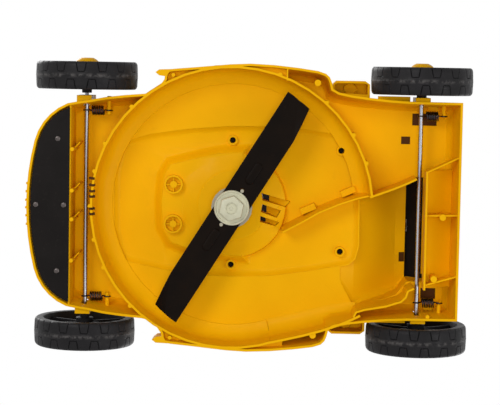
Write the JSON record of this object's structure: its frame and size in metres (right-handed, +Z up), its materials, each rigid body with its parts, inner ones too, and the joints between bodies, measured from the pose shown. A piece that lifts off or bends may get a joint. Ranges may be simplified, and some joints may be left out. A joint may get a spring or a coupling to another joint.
{
  "type": "electric lawn mower",
  "caption": "Rotary lawn mower with a moulded deck, sprung height-adjusting axles, a bar blade on a vertical motor, a rear discharge channel with a flap, and a motor cover.",
  "frame": {"origin": "middle of the bounding box's base, on the ground under the wheels", "axes": "+Z up, -Y towards the nose, +X to the mower's left"},
  "size_m": [0.4374, 0.663, 0.2919],
  "materials": {
    "deck_yellow": "satin moulded plastic",
    "black_plastic": "moulded, slightly dusty",
    "cover_black": "fine texture",
    "zinc_rod": "zinc plated with wear",
    "plain_steel": "plain",
    "blade_steel": "black coat, worn",
    "bolt_ivory": "moulded",
    "carrier_grey": "moulded",
    "armature_copper": "lacquered wire and laminations",
    "spring_black": "black oxide"
  },
  "bodies": {
    "housing": {"deck": "deck_yellow", "front_cover_plate": "black_plastic", "motor_body": "plain_steel", "lower_bearing": "plain_steel", "upper_bearing": "plain_steel", "motor_cover": "cover_black", "carry_handle": "black_plastic", "flap_rod": "zinc_rod", "flap_spring": "spring_black", "plate_screw_1": "plain_steel", "plate_screw_2": "plain_steel", "plate_screw_3": "plain_steel", "plate_screw_4": "plain_steel", "cover_screw_1": "black_plastic", "cover_screw_2": "black_plastic", "cover_screw_3": "black_plastic", "cover_screw_4": "black_plastic", "front_left_spring": "spring_black", "front_right_spring": "spring_black", "rear_left_spring": "spring_black", "rear_right_spring": "spring_black"},
    "rotor": {"blade": "blade_steel", "blade_bolt": "bolt_ivory", "blade_carrier": "carrier_grey", "motor_shaft": "plain_steel", "armature": "armature_copper", "cooling_fan": "black_plastic"},
    "front_axle_set": {"front_axle": "zinc_rod", "front_left_retainer": "plain_steel", "front_right_retainer": "plain_steel"},
    "rear_axle_set": {"rear_axle": "zinc_rod", "rear_left_retainer": "plain_steel", "rear_right_retainer": "plain_steel"},
    "flap": {"discharge_flap": "black_plastic"},
    "front_left_wheel_set": {"front_left_wheel": "black_plastic", "front_left_hubcap": "deck_yellow"},
    "front_right_wheel_set": {"front_right_wheel": "black_plastic", "front_right_hubcap": "deck_yellow"},
    "rear_left_wheel_set": {"rear_left_wheel": "black_plastic", "rear_left_hubcap": "deck_yellow"},
    "rear_right_wheel_set": {"rear_right_wheel": "black_plastic", "rear_right_hubcap": "deck_yellow"}
  },
  "joints": [
    {"name": "blade_spin", "type": "hinge", "parent": "housing", "child": "rotor", "pos_m": [0, -0.0245, 0.046], "axis": [0, 0, 1], "continuous": true},
    {"name": "front_height", "type": "slide", "parent": "housing", "child": "front_axle_set", "axis": [0, 0, 1], "range_m": [-0.015, 0.015], "deforming": ["front_left_spring", "front_right_spring"]},
    {"name": "rear_height", "type": "slide", "parent": "housing", "child": "rear_axle_set", "axis": [0, 0, 1], "range_m": [-0.015, 0.015], "deforming": ["rear_left_spring", "rear_right_spring"]},
    {"name": "flap_hinge", "type": "hinge", "parent": "housing", "child": "flap", "pos_m": [-0.0325, 0.24467, 0.17981], "axis": [1, 0, 0], "range_deg": [0, 95], "stiffness_Nm_per_rad": 0.08, "springref_deg": -28.65, "deforming": ["flap_spring"]},
    {"name": "front_left_roll", "type": "hinge", "parent": "front_axle_set", "child": "front_left_wheel_set", "pos_m": [0.1925, -0.2455, 0.076], "axis": [1, 0, 0], "continuous": true},
    {"name": "front_right_roll", "type": "hinge", "parent": "front_axle_set", "child": "front_right_wheel_set", "pos_m": [-0.1925, -0.2455, 0.076], "axis": [1, 0, 0], "continuous": true},
    {"name": "rear_left_roll", "type": "hinge", "parent": "rear_axle_set", "child": "rear_left_wheel_set", "pos_m": [0.1925, 0.2555, 0.076], "axis": [1, 0, 0], "continuous": true},
    {"name": "rear_right_roll", "type": "hinge", "parent": "rear_axle_set", "child": "rear_right_wheel_set", "pos_m": [-0.1925, 0.2555, 0.076], "axis": [1, 0, 0], "continuous": true}
  ]
}
